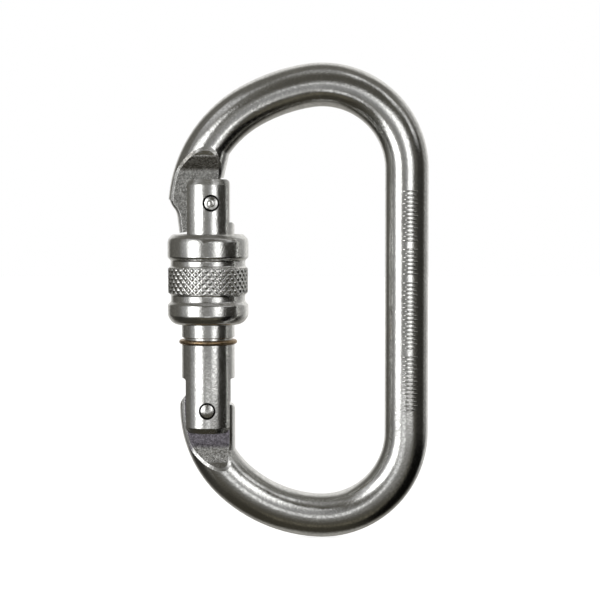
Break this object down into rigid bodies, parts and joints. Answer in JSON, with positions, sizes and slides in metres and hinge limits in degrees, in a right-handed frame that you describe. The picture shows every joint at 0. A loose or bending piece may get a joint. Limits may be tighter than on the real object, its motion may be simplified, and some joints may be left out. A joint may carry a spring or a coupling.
{
  "type": "locking carabiner",
  "caption": "Oval steel carabiner with a screw-lock sleeve on its hinged, spring-closed gate.",
  "frame": {"origin": "the crown of the upper bow's inner side, where a sling or anchor bears, on the mid plane", "axes": "+Z along the long axis from the lower bow to the upper bow, +X from the gate towards the spine, +Y through the thickness"},
  "size_m": [0.0599, 0.0186, 0.1091],
  "materials": {
    "frame_steel": "zinc-plated, fine grained",
    "gate_steel": "zinc-plated, turned",
    "sleeve_steel": "zinc-plated, turned and knurled",
    "rivet_steel": "plated, peened",
    "spring_steel": "drawn wire",
    "ring_bronze": "dull brown wire"
  },
  "bodies": {
    "frame": {"frame": "frame_steel"},
    "gate": {"gate": "gate_steel", "hinge_rivet": "rivet_steel", "catch_rivet": "rivet_steel", "closing_spring": "spring_steel"},
    "plunger": {"spring_plunger": "rivet_steel"},
    "ring": {"stop_ring": "ring_bronze"},
    "sleeve": {"screw_sleeve": "sleeve_steel"}
  },
  "joints": [
    {"name": "gate_hinge", "type": "hinge", "parent": "frame", "child": "gate", "pos_m": [-0.0262, 0, -0.06935], "axis": [0, 1, 0], "range_deg": [0, 30], "stiffness_Nm_per_rad": 0.032, "springref_deg": -57.3},
    {"name": "sleeve_turn", "type": "hinge", "parent": "gate", "child": "ring", "pos_m": [-0.0262, 0, -0.05385], "axis": [0, 0, 1], "range_deg": [-979, 1152]},
    {"name": "sleeve_travel", "type": "slide", "parent": "ring", "child": "sleeve", "axis": [0, 0, 1], "range_m": [-0.0034, 0.00401]},
    {"name": "plunger_travel", "type": "slide", "parent": "gate", "child": "plunger", "axis": [0, 0, 1], "range_m": [0, 0.0016], "deforming": ["closing_spring"]}
  ],
  "couplings": [
    {"joint": "sleeve_travel", "follows": "sleeve_turn", "m_per_rad": 0.00019894},
    {"joint": "plunger_travel", "follows": "gate_hinge", "m_per_rad": 0.003}
  ]
}
